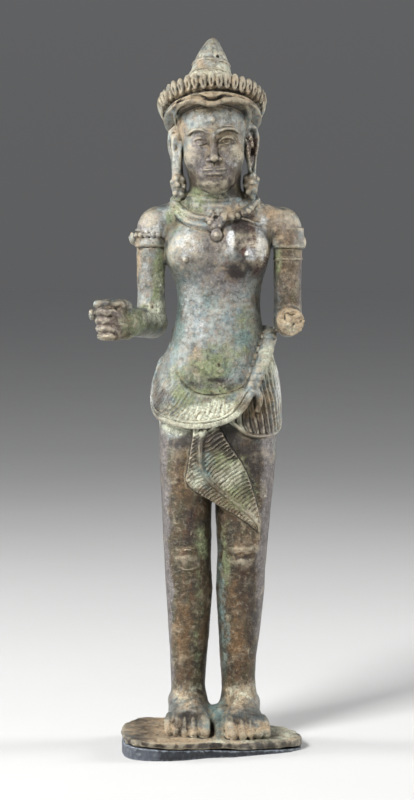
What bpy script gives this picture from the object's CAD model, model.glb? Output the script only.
import math

import bmesh
import bpy
import numpy as np
import openvdb
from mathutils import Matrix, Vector


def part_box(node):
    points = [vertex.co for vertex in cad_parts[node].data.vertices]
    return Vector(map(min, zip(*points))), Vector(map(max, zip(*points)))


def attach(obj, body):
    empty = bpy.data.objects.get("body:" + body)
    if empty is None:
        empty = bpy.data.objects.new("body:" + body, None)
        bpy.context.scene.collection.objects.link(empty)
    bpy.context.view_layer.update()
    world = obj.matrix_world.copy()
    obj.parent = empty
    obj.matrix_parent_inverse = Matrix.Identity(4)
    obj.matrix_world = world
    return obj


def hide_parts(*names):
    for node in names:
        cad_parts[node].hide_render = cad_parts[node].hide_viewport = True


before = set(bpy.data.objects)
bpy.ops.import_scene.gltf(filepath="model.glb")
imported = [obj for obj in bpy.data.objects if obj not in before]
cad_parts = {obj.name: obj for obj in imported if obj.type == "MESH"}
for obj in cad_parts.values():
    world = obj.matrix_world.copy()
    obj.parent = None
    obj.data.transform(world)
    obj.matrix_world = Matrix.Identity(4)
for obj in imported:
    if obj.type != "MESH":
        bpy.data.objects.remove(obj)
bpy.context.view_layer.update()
print("frame loaded")

# The statuette is drawn in millimetres: +Z up, facing -Y, its right arm towards -X, its axis at x 0 and y 0.
# The drawing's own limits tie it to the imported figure.
drawn = {"top": 238.13, "left": -41.73, "front": -34.6}
figureLow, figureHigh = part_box("figure")
metre = figureHigh.z / drawn["top"]
axis = Vector((figureLow.x - drawn["left"] * metre, figureLow.y - drawn["front"] * metre, 0))

clayWork = {"voxel": 0.31, "cube": 8, "margin": 4, "trianglesMost": 192000}


# Numbers along stations, whose first column is the place
def along(stations, places):
    rows = np.array(stations, float)
    places = np.atleast_1d(places)
    i = np.clip(np.searchsorted(rows[:, 0], places, side="right") - 1, 0, len(rows) - 2)
    before, after = rows[np.maximum(i - 1, 0)], rows[np.minimum(i + 2, len(rows) - 1)]
    start, end = rows[i], rows[i + 1]
    span = end[:, :1] - start[:, :1]
    t = np.clip((places[:, None] - start[:, :1]) / span, 0, 1)
    leave = (end - before) / (end[:, :1] - before[:, :1]) * span
    arrive = (after - start) / (after[:, :1] - start[:, :1]) * span
    rise = end - start
    return (start + t * (leave + t * (3 * rise - 2 * leave - arrive + t * (leave + arrive - 2 * rise))))[:, 1:]


def curveThrough(points, count):
    rows = [(i, *point) for i, point in enumerate(points)]
    return along(rows, np.linspace(0, len(points) - 1, count))


def ease(value, low, high):
    t = np.clip((value - low) / (high - low), 0, 1)
    return t * t * (3 - 2 * t)


def softMin(a, b, soft):
    gap = np.maximum(soft - np.abs(a - b), 0) / soft
    return np.minimum(a, b) - gap * gap * soft / 4


def softMax(a, b, soft):
    return -softMin(-a, -b, soft)


def ridge(phase):
    # 1 on each whole number, 0 half way between
    return 1 - 2 * np.abs(phase - np.round(phase))


lattice = np.random.default_rng(11).random((32, 32, 32)).astype(np.float32) * 2 - 1


def grain(x, y, z, size, shift=0.0):
    # smooth noise over space, from -1 to 1
    cells, parts = [], []
    for value, off in ((x, shift), (y, shift * 1.7 + 3), (z, shift * 0.6 + 9)):
        place = value / size + off
        cell = np.floor(place)
        part = place - cell
        cells.append((cell.astype(np.int32) & 31, (cell.astype(np.int32) + 1) & 31))
        parts.append(part * part * (3 - 2 * part))
    total = 0
    for i in (0, 1):
        for j in (0, 1):
            for k in (0, 1):
                weight = ((parts[0] if i else 1 - parts[0]) * (parts[1] if j else 1 - parts[1])
                          * (parts[2] if k else 1 - parts[2]))
                total = total + weight * lattice[cells[0][i], cells[1][j], cells[2][k]]
    return total


def grains(x, y, z, layers):
    # several noises together: depth, size and shift of each
    return sum(depth * grain(x, y, z, size, shift) for depth, size, shift in layers)


# Forms: the box that each fills, and how far a point stands off its skin
class Form:
    def __init__(self, low, high, measure):
        self.low, self.high, self.measure = np.array(low, float), np.array(high, float), measure


def turning(axisName, degrees):
    c, s = math.cos(math.radians(degrees)), math.sin(math.radians(degrees))
    rows = {"x": [[1, 0, 0], [0, c, -s], [0, s, c]], "y": [[c, 0, s], [0, 1, 0], [-s, 0, c]],
            "z": [[c, -s, 0], [s, c, 0], [0, 0, 1]]}[axisName]
    stand = np.eye(4)
    stand[:3, :3] = rows
    return stand


def moving(x, y, z):
    stand = np.eye(4)
    stand[:3, 3] = (x, y, z)
    return stand


def egg(centre, radii, turn=None):
    spread = max(radii)
    back = np.eye(3) if turn is None else turn[:3, :3].T
    a, b, c = (1 / r for r in radii)

    def measure(x, y, z):
        x, y, z = x - centre[0], y - centre[1], z - centre[2]
        if turn is not None:
            x, y, z = (row[0] * x + row[1] * y + row[2] * z for row in back)
        scaled = np.sqrt((x * a) ** 2 + (y * b) ** 2 + (z * c) ** 2) + 1e-6
        steep = np.sqrt((x * a * a) ** 2 + (y * b * b) ** 2 + (z * c * c) ** 2) + 1e-6
        return scaled * (scaled - 1) / steep

    return Form([v - spread for v in centre], [v + spread for v in centre], measure)


def rod(points, radii, count=None, squeeze=(1, 1, 1)):
    # a round bar through points; squeeze above 1 thins it along that axis
    count = count or max(len(points) * 4, 6)
    line = curveThrough(points, count) if len(points) > 2 else np.linspace(points[0], points[-1], count)
    sizes = np.interp(np.linspace(0, 1, count), np.linspace(0, 1, len(radii)), radii)
    squeeze = np.array(squeeze, float)

    def measure(x, y, z):
        best = None
        for a, b, ra, rb in zip(line[:-1] * squeeze, line[1:] * squeeze, sizes[:-1], sizes[1:]):
            d = b - a
            px, py, pz = x * squeeze[0] - a[0], y * squeeze[1] - a[1], z * squeeze[2] - a[2]
            t = np.clip((px * d[0] + py * d[1] + pz * d[2]) / (d @ d + 1e-9), 0, 1)
            away = (px - t * d[0]) ** 2 + (py - t * d[1]) ** 2 + (pz - t * d[2]) ** 2
            far = np.sqrt(away) - (ra + (rb - ra) * t)
            best = far if best is None else np.minimum(best, far)
        return best

    thick = max(radii)
    return Form(line.min(0) - thick, line.max(0) + thick, measure)


def loft(stations, square=2.2, ends=1.5):
    # level sections: height, middle x, middle y, half width, depth forward, depth back
    places = np.linspace(stations[0][0], stations[-1][0], 4 * len(stations))
    table = along(stations, places)

    def measure(x, y, z):
        middleX, middleY, half, front, back = (
            np.interp(z, places, table[:, k]).astype(np.float32) for k in range(5))
        x, y = x - middleX, y - middleY
        depth = np.where(y < 0, front, back)
        across, deep = np.abs(x) / half, np.abs(y) / depth
        q = (across ** square + deep ** square + 1e-6) ** (1 / square)
        steep = np.hypot((across / q) ** (square - 1) / half, (deep / q) ** (square - 1) / depth)
        return softMax((q - 1) / steep, np.maximum(places[0] - z, z - places[-1]), ends)

    low = [(table[:, 0] - table[:, 2]).min(), (table[:, 1] - table[:, 3]).min(), places[0]]
    high = [(table[:, 0] + table[:, 2]).max(), (table[:, 1] + table[:, 4]).max(), places[-1]]
    return Form(low, high, measure)


def areaDistance(u, v, outline):
    # distance from a flat closed outline, negative inside it
    best = np.full(u.shape, 1e6, np.float32)
    inside = np.zeros(u.shape, bool)
    for a, b in zip(outline, np.roll(outline, -1, axis=0)):
        d = b - a
        pu, pv = u - a[0], v - a[1]
        t = np.clip((pu * d[0] + pv * d[1]) / (d @ d + 1e-9), 0, 1)
        best = np.minimum(best, (pu - t * d[0]) ** 2 + (pv - t * d[1]) ** 2)
        if a[1] != b[1]:
            crosses = (v > min(a[1], b[1])) & (v <= max(a[1], b[1]))
            inside ^= crosses & (pu < pv * d[0] / d[1])
    return np.where(inside, -1, 1) * np.sqrt(best)


def nearestOnLine(u, v, line):
    # distance from an open line and the place along it, from 0 to 1
    best = np.full(u.shape, 1e6, np.float32)
    place = np.zeros(u.shape, np.float32)
    for i, (a, b) in enumerate(zip(line[:-1], line[1:])):
        d = b - a
        t = np.clip(((u - a[0]) * d[0] + (v - a[1]) * d[1]) / (d @ d + 1e-9), 0, 1)
        far = (u - a[0] - t * d[0]) ** 2 + (v - a[1] - t * d[1]) ** 2
        nearer = far < best
        best = np.where(nearer, far, best)
        place = np.where(nearer, (i + t) / (len(line) - 1), place)
    return np.sqrt(best), place


def lathe(profile):
    # a turned form: radius and height round the Z axis
    outline = np.array(profile, float)
    most = outline[:, 0].max()

    def measure(x, y, z):
        return areaDistance(np.hypot(x, y), z, outline)

    return Form([-most, -most, outline[:, 1].min()], [most, most, outline[:, 1].max()], measure)


# Clay: distances from the skin at the points of small cubes, so that a form works only on the cubes near it
class Clay:
    def __init__(self, corners, offsets, side, reach):
        self.corners = corners.astype(np.float32)
        self.offsets = offsets.astype(np.float32)
        self.middles, self.halfSide, self.reach = corners + side / 2, side / 2, reach
        self.distance = np.full((len(corners), len(offsets)), 40, np.float32)
        self.stand = np.eye(4)

    def near(self, low, high, reach):
        sides = list(zip(low, high))
        ends = np.array([[x, y, z, 1] for x in sides[0] for y in sides[1] for z in sides[2]])
        ends = (ends @ self.stand.T)[:, :3]
        low, high = ends.min(0) - reach - self.halfSide, ends.max(0) + reach + self.halfSide
        return np.nonzero(((self.middles > low) & (self.middles < high)).all(1))[0]

    def points(self, cubes):
        x, y, z = (self.corners[cubes, k, None] + self.offsets[None, :, k] for k in range(3))
        if np.array_equal(self.stand, np.eye(4)):
            return x, y, z
        back = np.linalg.inv(self.stand)
        return tuple(row[0] * x + row[1] * y + row[2] * z + row[3] for row in back[:3].astype(np.float32))

    def add(self, form, soft=0.4):
        cubes = self.near(form.low, form.high, self.reach + soft)
        if len(cubes):
            self.distance[cubes] = softMin(self.distance[cubes], form.measure(*self.points(cubes)), soft)

    def cut(self, form, soft=0.3):
        cubes = self.near(form.low, form.high, self.reach + soft)
        if len(cubes):
            self.distance[cubes] = softMax(self.distance[cubes], -form.measure(*self.points(cubes)), soft)

    def swell(self, low, high, amount):
        # amount of metal added to what is there, as a function of place
        cubes = self.near(low, high, 0)
        if len(cubes):
            self.distance[cubes] -= amount(*self.points(cubes))


def mirrored(side, points):
    return [(side * x, y, z) for x, y, z in points]


# Trunk, from the thighs to the neck
trunkStations = [
    (84, 0.7, 0, 9, 3, 4), (88, 0.7, 0, 14.5, 6, 7.4), (95, 0.9, 0, 18.6, 9.5, 11), (104, 1, 0, 19.6, 10.8, 12.8),
    (112, 1, 0, 20, 11.4, 13), (119, 0.9, 0, 20, 12.2, 12), (126, 0.8, 0, 18.9, 12.4, 10.4),
    (132, 0.8, 0, 17.2, 11.1, 9), (138, 1, 0, 15.7, 9.6, 8.1), (144, 1.2, 0, 14.3, 8.6, 7.6),
    (150, 1.3, 0, 13.9, 8.3, 7.6), (155, 1.2, 0, 14.5, 8.5, 8), (160, 0.9, 0, 16.2, 8.9, 8.5),
    (166, 0.8, 0, 17.6, 9, 8.8), (172, 0.8, 0, 17.8, 8.6, 8.6), (177, 0.7, 0.2, 15.4, 7.8, 8),
    (181, 0.4, 0.2, 11.4, 7.2, 7.2), (185, 0.1, 0, 9, 7, 6.6), (192, -0.1, 0, 8.4, 7.2, 6.4),
    (198, -0.3, 0.5, 7.6, 6.6, 6.6),
]
trunkForm = loft(trunkStations)
trunkTurn = 19  # millimetres of skin for a radian round the trunk


def trunkPlace(x, y, z):
    # the angle round the trunk in degrees, and the distance off its skin
    middleX, middleY, half, front, back = along(trunkStations, np.clip(z.ravel(), 84, 198)).T.reshape(5, *z.shape)
    depth = np.where(y < middleY, front, back)
    angle = np.degrees(np.arctan2((x - middleX) / half, -(y - middleY) / depth)).astype(np.float32)
    return angle, trunkForm.measure(x, y, z)


def onTrunk(degrees, z, out=0.0):
    middleX, middleY, half, front, back = along(trunkStations, z)[0]
    angle = math.radians(degrees)
    depth = front if math.cos(angle) > 0 else back
    return (middleX + (half + out) * math.sin(angle), middleY - (depth + out) * math.cos(angle), z)


bodyWork = {
    "breasts": [(-7.6, -5.2, 166.2), (9.4, -5.2, 166.4)], "breastRadii": (8.3, 5.9, 7.9), "breastSoft": 4,
    "nipples": [(-9.9, -11.1, 163.6), (10.4, -11.1, 165.4)], "nippleRadii": (0.95, 0.9, 0.95),
    "navel": (1.4, -12.9, 128.9), "navelRadii": (0.95, 1.5, 0.85),
    "navelLip": (1.9, -12.5, 126.9), "navelLipRadii": (1.1, 0.7, 0.8),
    "bellyFold": [(-3.4, -13.1, 124), (1.3, -13.6, 123), (5.8, -13, 124.2)],
    "spine": [(0.9, 9.3, 176), (0.9, 9.4, 160), (1.2, 8.4, 146)],
    "bladeRadii": (5.4, 3.5, 7.6), "seatRadii": (8.6, 6.4, 9.6),
    "neckRings": [(184.6, 0.35), (182.4, 0.3)],  # height and depth
}


def shapeTrunk(clay):
    b = bodyWork
    clay.add(trunkForm, 0.1)
    for middle in b["breasts"]:
        clay.add(egg(middle, b["breastRadii"]), b["breastSoft"])
    for middle in b["nipples"]:
        clay.add(egg(middle, b["nippleRadii"]), 0.7)
    clay.cut(egg(b["navel"], b["navelRadii"]), 0.9)
    clay.add(egg(b["navelLip"], b["navelLipRadii"]), 0.7)
    clay.cut(rod(b["bellyFold"], [0.3, 0.55, 0.3]), 1.2)
    clay.cut(rod(b["spine"], [0.5, 0.9, 0.6]), 2.5)
    for side in (-1, 1):
        clay.add(egg((side * 8.6 + 0.8, 5.6, 168), b["bladeRadii"], turning("y", side * 12)), 2.4)
        clay.add(egg((side * 9.4 + 1, 7, 110), b["seatRadii"]), 3)
    for height, deep in b["neckRings"]:
        clay.swell((-9, -9, height - 1), (9, 3, height + 1),
                   lambda x, y, z: -deep * np.clip(1 - np.abs(z - height - 0.04 * x * x * 0.2) / 0.8, 0, 1))


# Legs
rightLeg = [
    (6, -9, 0.6, 6.1, 5.9, 6.4), (9, -9, 0.6, 5.9, 5.8, 6.4), (15, -9, 0.4, 5.7, 5.6, 6),
    (20, -9.1, 0.4, 5.8, 5.6, 6.2), (28, -9, 0.3, 6.2, 5.9, 7), (35, -8.8, 0.2, 6.7, 6.2, 7.9),
    (44, -8.8, 0.1, 7.3, 6.7, 8.6), (52, -8.8, 0, 7.8, 7, 8.4), (61, -9.2, 0, 7.9, 7.6, 7.6),
    (68, -9.3, 0, 8.1, 7.9, 8), (81, -9.6, 0, 8.4, 8.7, 9.4), (92, -9.3, 0, 9.2, 9.6, 10.8),
    (100, -8.8, 0, 9.4, 10, 11.4), (108, -8.2, 0, 8.6, 9.2, 10.6), (114, -7.6, 0, 6, 7, 8),
]
leftLeg = [
    (6, 8.4, 0.6, 6.3, 5.9, 6.4), (9, 8.4, 0.6, 6.1, 5.8, 6.4), (17.5, 8.1, 0.4, 5.8, 5.6, 6),
    (23.5, 7.9, 0.4, 5.8, 5.7, 6.4), (30, 7.8, 0.3, 6.3, 6, 7.2), (36.5, 8.2, 0.2, 6.9, 6.3, 8),
    (45, 8.4, 0.1, 7.6, 6.8, 8.7), (51, 8.6, 0, 8.1, 7.1, 8.5), (57, 8.7, 0, 8.15, 7.5, 7.8),
    (66, 9.2, 0, 8.5, 7.8, 8), (81, 9.6, 0, 9.4, 8.8, 9.6), (92, 10.5, 0, 9.6, 9.6, 10.9),
    (100, 10.2, 0, 9.7, 10, 11.4), (108, 9.4, 0, 8.8, 9.2, 10.6), (114, 8.6, 0, 6, 7, 8),
]
kneeWork = {
    "height": 62.6, "across": (-9.3, 9.4), "capRadii": (3.8, 2.4, 4),
    "middle": (-9.2, 63.2),
    "lines": [(3.3, 3.4, 0.05, 1.3), (-3.7, 3, 0.04, -1.1)],  # rise, half width, thickness and bend
    "fold": (9.8, -5.9, 66.6), "foldRadii": (4.4, 2.3, 2),
    "crease": [(6.2, -8.3, 63.8), (8.6, -8.9, 64.5), (10.8, -9, 64.1), (13.2, -8.2, 64.4)],
}


def shapeLegs(clay):
    for stations in (rightLeg, leftLeg):
        clay.add(loft(stations), 2.2)
    k = kneeWork
    for kneeX in k["across"]:
        clay.add(egg((kneeX, -5.9, k["height"]), k["capRadii"]), 1.8)
    # the faint lines over the right knee, and the fold and crease over the left one
    x, z = k["middle"]
    for rise, wide, deep, bend in k["lines"]:
        line = [(x - wide, -6.9, z + rise - bend), (x, -8.35, z + rise), (x + wide, -6.9, z + rise - bend)]
        clay.add(rod(line, [deep * 0.7, deep, deep * 0.7]), 0.8)
    clay.add(egg(k["fold"], k["foldRadii"]), 2.6)
    clay.cut(rod(k["crease"], [0.2, 0.4, 0.35, 0.2]), 1.4)


# Arms and their armlets
armWork = {
    "elbow": 142.5, "rightX": -21.5, "leftX": 24.4, "lean": 0.3,
    "radii": [(-0.4, 4.4), (4, 4.8), (9, 4.6), (18, 4.75), (25, 4.9), (31, 5.15), (33.6, 4.7)],
    # turned profiles: radius, and height over the elbow
    "band": [(0, 25.2), (5.35, 25.3), (5.75, 25.7), (5.6, 28.2), (0, 28.4)],
    "rim": [(0, 30.2), (5.2, 30.3), (5.45, 30.9), (5.15, 31.4), (0, 31.6)],
    "beads": 17, "beadHeight": 29.3, "beadRing": 5.55, "beadRadius": 1.02,
    "bossHeight": 28.2,
    "wornBand": [(0, 25), (5.3, 24.8), (5.95, 25.1), (5.75, 26.4), (5.5, 29.4), (5.5, 31.6), (0, 32)],
    "wornRing": [(0, 20.6), (4.9, 20.8), (5.15, 21.2), (4.9, 21.7), (0, 21.8)],
    "wornBoss": (5, -0.8, 26.8), "wornBossRadii": (1.2, 2, 2),
}


def upperArm(clay, side, x):
    a = armWork
    line = [(x - side * max(up - 29, 0) * a["lean"], 0.1, a["elbow"] + up) for up, radius in a["radii"]]
    clay.add(rod(line, [radius for up, radius in a["radii"]], 22), 1.6)
    shoulder = [(side * 6, 0.4, 181), (side * 13.5, 0.3, 178), (x * 0.93, 0.2, 174.6)]
    clay.add(rod(shoulder, [5.2, 5.3, 5.2]), 2.6)


def armlets(clay):
    a = armWork
    x, foot = a["rightX"], a["elbow"]
    beadTurn = 2 * math.pi / a["beads"]

    def beadRow(px, py, pz):
        angle = np.arctan2(py, px) / beadTurn
        across = (angle - np.round(angle)) * beadTurn * 5.6
        off = across ** 2 + (np.hypot(px, py) - a["beadRing"]) ** 2 + (pz - a["beadHeight"]) ** 2
        return np.sqrt(off) - a["beadRadius"]

    clay.stand = moving(x, 0.1, foot)
    clay.add(lathe(a["band"]), 0.35)
    clay.add(Form((-7, -7, 28), (7, 7, 30.8), beadRow), 0.25)
    clay.add(lathe(a["rim"]), 0.3)
    clay.stand = np.eye(4)
    bossX, bossZ = x - 5.9, foot + a["bossHeight"]
    clay.add(egg((bossX, -0.9, bossZ), (1.35, 2, 2.3)), 0.4)
    clay.add(egg((bossX - 0.7, -1.3, bossZ), (0.9, 0.9, 0.9)), 0.2)
    for turn in range(6):
        spin = turn * math.pi / 3
        petal = (bossX - 0.2, -1 + 1.25 * math.cos(spin), bossZ + 1.45 * math.sin(spin))
        clay.add(egg(petal, (0.8, 0.55, 0.6)), 0.15)
    # the wide worn band on the other arm, with a sharp lower edge and a thin ring under it
    clay.stand = moving(a["leftX"], 0.1, foot)
    clay.add(lathe(a["wornBand"]), 0.5)
    clay.add(lathe(a["wornRing"]), 0.4)
    clay.stand = np.eye(4)
    across, ahead, up = a["wornBoss"]
    clay.add(egg((a["leftX"] + across, ahead, foot + up), a["wornBossRadii"]), 0.6)


# The right forearm comes forward and outward and ends in a fist
handWork = {
    "elbow": (-21.3, 0.3, 142.5), "wrist": (-29, -14.2, 143), "turn": -45,
    # height, thickness, and how far ahead of the wrist or, for the fingers, how much longer than the rest
    "core": [(-3.3, 2.6, 8.6), (-0.4, 3.3, 9), (2.6, 2.9, 8.6)],
    "fingers": [(3.7, 1.6, 0.3), (0.8, 1.45, 0.3), (-1.8, 1.4, 0.1), (-4.3, 1.35, -0.3)],
    # places in the hand, which are ahead of the wrist, inward and up, some with radii
    "back": [(-3, 0.2, 1.6), (3, 0.2, 3.6), (8.6, 0.2, 4)],
    "palm": ((7, 2.4, 0.1), (3, 2.9, 5.7)),
    "indexTip": ((11.9, -0.1, 3.6), (1.7, 1.6, 1.6)),
    "thumb": [(2.5, 2, 5.2), (6.4, 2.4, 5.9), (10, 1.4, 6.1), (12.6, -0.4, 6.2)],
    "thumbTip": ((12.8, -0.4, 6.3), (1.75, 1.6, 1.45)),
    "wornRest": ((12.2, -4.1, 2.8), (1.25, 1.5, 1.95)),  # of what it held
    "hollows": [((9.2, 5, 0.9), (1, 1, 1.2)), ((8.4, 5.2, -1.6), (0.8, 0.8, 0.9))],
    "grit": ((0.3, 1.7, 9), (0.2, 0.9, 4)),
}


def handPlace(ahead, inward, up):
    turn = math.radians(handWork["turn"])
    x, y, z = handWork["wrist"]
    return (x + ahead * math.sin(turn) + inward * math.cos(turn),
            y - ahead * math.cos(turn) + inward * math.sin(turn), z + up)


def shapeForearms(clay):
    h = handWork
    elbow, wrist = np.array(h["elbow"]), np.array(h["wrist"])
    middle = (elbow + wrist) / 2 + (0, 0, -0.2)
    clay.add(egg(elbow + (0, 0.6, 0), (4.9, 4.7, 4.9)), 1.2)
    clay.add(rod([elbow, middle, wrist, handPlace(3.5, 0, 0)], [4.9, 5, 4.6, 4.2]), 1.8)
    for up, thick, ahead in h["core"]:
        clay.add(rod([handPlace(1, 0.3, up * 0.8), handPlace(ahead, 0.3, up)], [thick + 0.4, thick]), 1.4)
    clay.add(rod([handPlace(*place) for place in h["back"]], [3.4, 2.8, 2.3]), 1.4)

    def lump(name, soft):
        place, radii = h[name]
        clay.add(egg(handPlace(*place), radii), soft)

    lump("palm", 1)
    for up, thick, reach in h["fingers"]:
        line = [handPlace(8, -1.9, up), handPlace(10.7 + reach, -1.7, up), handPlace(11.4 + reach, -0.6, up),
                handPlace(11.4 + reach, 1, up), handPlace(10.9, 2.3, up - 0.1), handPlace(9.4, 3.1, up - 0.2)]
        clay.add(rod(line, [thick, thick, thick, thick, thick * 0.95, thick * 0.8], 20), 0.2)
    lump("indexTip", 0.3)
    clay.add(rod([handPlace(*place) for place in h["thumb"]], [2.1, 2, 1.75, 1.5]), 0.6)
    lump("thumbTip", 0.3)
    lump("wornRest", 0.35)
    for place, radii in h["hollows"]:
        clay.cut(egg(handPlace(*place), radii), 0.6)
    clay.swell((-43, -26, 134), (-24, -8, 151),
               lambda x, y, z: grains(x, y, z, h["grit"]) * ease(x, -39, -36) * (1 - ease(x, -29, -26)))


# The left forearm is broken off just below the elbow; the break is coarse and uneven.
stumpWork = {
    "x": 24.5, "z": 142.9, "end": -9.4, "rough": ((0.5, 3.1, 12), (0.4, 1.5, 19), (0.2, 0.9, 17)),
    "grit": ((0.7, 1.15, 14), (0.4, 0.7, 21)), "gritDepth": 0.5,
}


def shapeStump(clay):
    s = stumpWork
    arm = [(s["x"], 1.2, s["z"]), (s["x"] + 0.5, -5, s["z"]), (s["x"] + 0.9, -12, s["z"])]
    clay.add(rod(arm, [4.8, 4.6, 4.3]), 1.4)

    def beyond(x, y, z):
        return y - s["end"] - 0.12 * (z - s["z"]) - 0.1 * (x - s["x"]) - grains(x, y, z, s["rough"])

    clay.cut(Form((18, -18, 136), (32, s["end"] + 3, 150), beyond), 0.5)
    clay.swell((19, -13, 137), (31, -6.5, 149),
               lambda x, y, z: s["gritDepth"] * grains(x, y, z, s["grit"]) * ease(-y, 6.8, 9))


# Feet on the slab
footWork = {
    # how far ahead of the leg's middle, half width and height
    "stations": [(-9.4, 3.6, 6), (-7.5, 5, 9), (-3, 5.6, 12), (2, 5.8, 13), (6.5, 6.1, 12), (11, 6.7, 10.2),
                 (16, 7.3, 8.2), (20, 7.2, 6.2), (22.5, 6.7, 4.4)],
    # from the big toe: across, radius, how far ahead the tip is
    "toes": [(5.1, 2.2, 24.9), (1.82, 1.64, 25.2), (-0.96, 1.58, 24.4), (-3.74, 1.52, 23.6), (-6.52, 1.46, 22.8)],
    "gaps": [3.77, 0.43, -2.35, -5.13],  # across
}
baseWork = {
    "left": -31.4, "right": 29.4, "wedgeTall": 4.5, "wedgeThin": 0.7, "gap": 0.3,
    "slabLeft": 2.0, "slabRight": 2.9,
    "outline": [
        (-19, -34.6), (-10, -33.4), (-1.5, -29.4), (6, -28.6), (13.6, -25.2), (22, -21.6), (27.6, -17.6),
        (29.4, -11.5), (27.6, -3.4), (23.5, 3.4), (15, 8.6), (5, 11.4), (-8, 12.8), (-18, 12), (-25.5, 8),
        (-30.2, -0.5), (-31.4, -13), (-30.6, -25), (-27, -32.2),
    ],
    "web": (0.4, -4, 5), "webRadii": (5.4, 7.4, 7.6),
    "runner": [(2, -8, 11.4), (1.7, -13, 8.4), (1.5, -20, 5.6), (1.6, -25, 4.4)],
}


def wedgeTop(x):
    b = baseWork
    return b["wedgeTall"] + (b["wedgeThin"] - b["wedgeTall"]) * (x - b["left"]) / (b["right"] - b["left"])


def slabTop(x):
    b = baseWork
    across, rise = x - b["left"], b["slabRight"] - b["slabLeft"]
    return wedgeTop(x) + b["gap"] + b["slabLeft"] + rise * across / (b["right"] - b["left"])


def closedCurve(points, count):
    wrapped = points[-3:] + points + points[:3]
    return along([(i - 3, *point) for i, point in enumerate(wrapped)], np.arange(count) / count * len(points))


slabOutline = closedCurve(baseWork["outline"], 64)


def foot(clay, x, splay, bigToeSide):
    sole = slabTop(x) - 1
    upright = moving(x, 1, sole) @ turning("z", splay)
    # the loft runs along the foot, so its own axes are across, down and ahead
    lay = np.eye(4)
    lay[:3, :3] = [[1, 0, 0], [0, 0, -1], [0, -1, 0]]
    clay.stand = upright @ lay
    sections = [(ahead, 0, -tall / 2, half, tall / 2, tall / 2) for ahead, half, tall in footWork["stations"]]
    clay.add(loft(sections, 2.1), 4)
    clay.stand = upright
    clay.add(rod([(0, -3, 12), (bigToeSide * 0.8, -9, 9.4), (bigToeSide * 2, -16, 5.6)], [2.4, 1.6, 0.8]), 3)
    for across, radius, tip in footWork["toes"]:
        across = bigToeSide * across
        line = [(across * 0.95, -tip + 8.5, 6.4), (across, -tip + 4.6, 5), (across, -tip + radius, 2.4)]
        clay.add(rod(line, [radius * 0.8, radius, radius * 1.02]), 0.5)
    for gap in footWork["gaps"]:
        gap = bigToeSide * gap
        line = [(gap, -15.5, 9.4), (gap, -20.5, 7.1), (gap, -24, 4.6), (gap, -26, 1.6)]
        clay.cut(rod(line, [0.3, 0.42, 0.42, 0.3]), 0.5)
    clay.stand = np.eye(4)
    clay.add(egg((x - bigToeSide * 5.2, 2, sole + 9.4), (1.5, 2.2, 1.9)), 1.6)  # ankle bone


def shapeBase(clay):
    foot(clay, -9, 0, 1)
    foot(clay, 8.4, 6, -1)

    def slab(x, y, z):
        side = areaDistance(x, y, slabOutline) + 0.35 * grain(x, y, z, 2.6, 1) + 0.3
        level = np.maximum(z - slabTop(x), wedgeTop(x) + baseWork["gap"] - z)
        return softMax(side, level, 0.9)

    clay.add(Form((-32, -35.2, 0.9), (30, 13.4, 7.4), slab), 0.5)
    # metal left by the casting between the feet
    clay.add(egg(baseWork["web"], baseWork["webRadii"]), 3.6)
    clay.add(rod(baseWork["runner"], [1.6, 1.9, 1.7, 1.2]), 1.4)
    # nothing of the figure goes below the slab's underside
    clay.cut(Form((-32, -36, -8), (30, 14, 5.5), lambda x, y, z: z - wedgeTop(x) - baseWork["gap"]), 0.3)


# Head, upright in its own frame and then leaned about the chin
chin = 186.5
hairline = 215
third = (hairline - chin) / 3
headStations = [
    (chin - 0.8, 0, -6.8, 3, 3.4, 7), (chin + 1.4, 0, -4.2, 5.9, 7.3, 8.6), (chin + 4.6, 0, -2.2, 8.2, 9.8, 10),
    (chin + 8.6, 0, -1.2, 9.6, 10.9, 11.4), (chin + 13.5, 0, -1, 10.3, 11.2, 12.6),
    (chin + 18.5, 0, -1, 10.5, 11.1, 13), (chin + 23.5, 0, -0.8, 10.6, 11.2, 13.2),
    (chin + 28.5, 0, -0.4, 10.8, 11.2, 13), (chin + 33, 0, 0.2, 10, 10, 12), (chin + 38, 0, 1, 6.5, 6.5, 8),
]
headStand = moving(0, 0, chin) @ turning("y", -2) @ moving(0, 0, -chin)
faceWork = {
    "brow": hairline - third, "nose": chin + third, "front": -12,
    "eyeDrop": 0.29, "eyeSpread": 4.45, "eyeHalf": 2.35, "mouthDrop": 1 / 3, "mouthHalf": 3.7,
}


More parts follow.
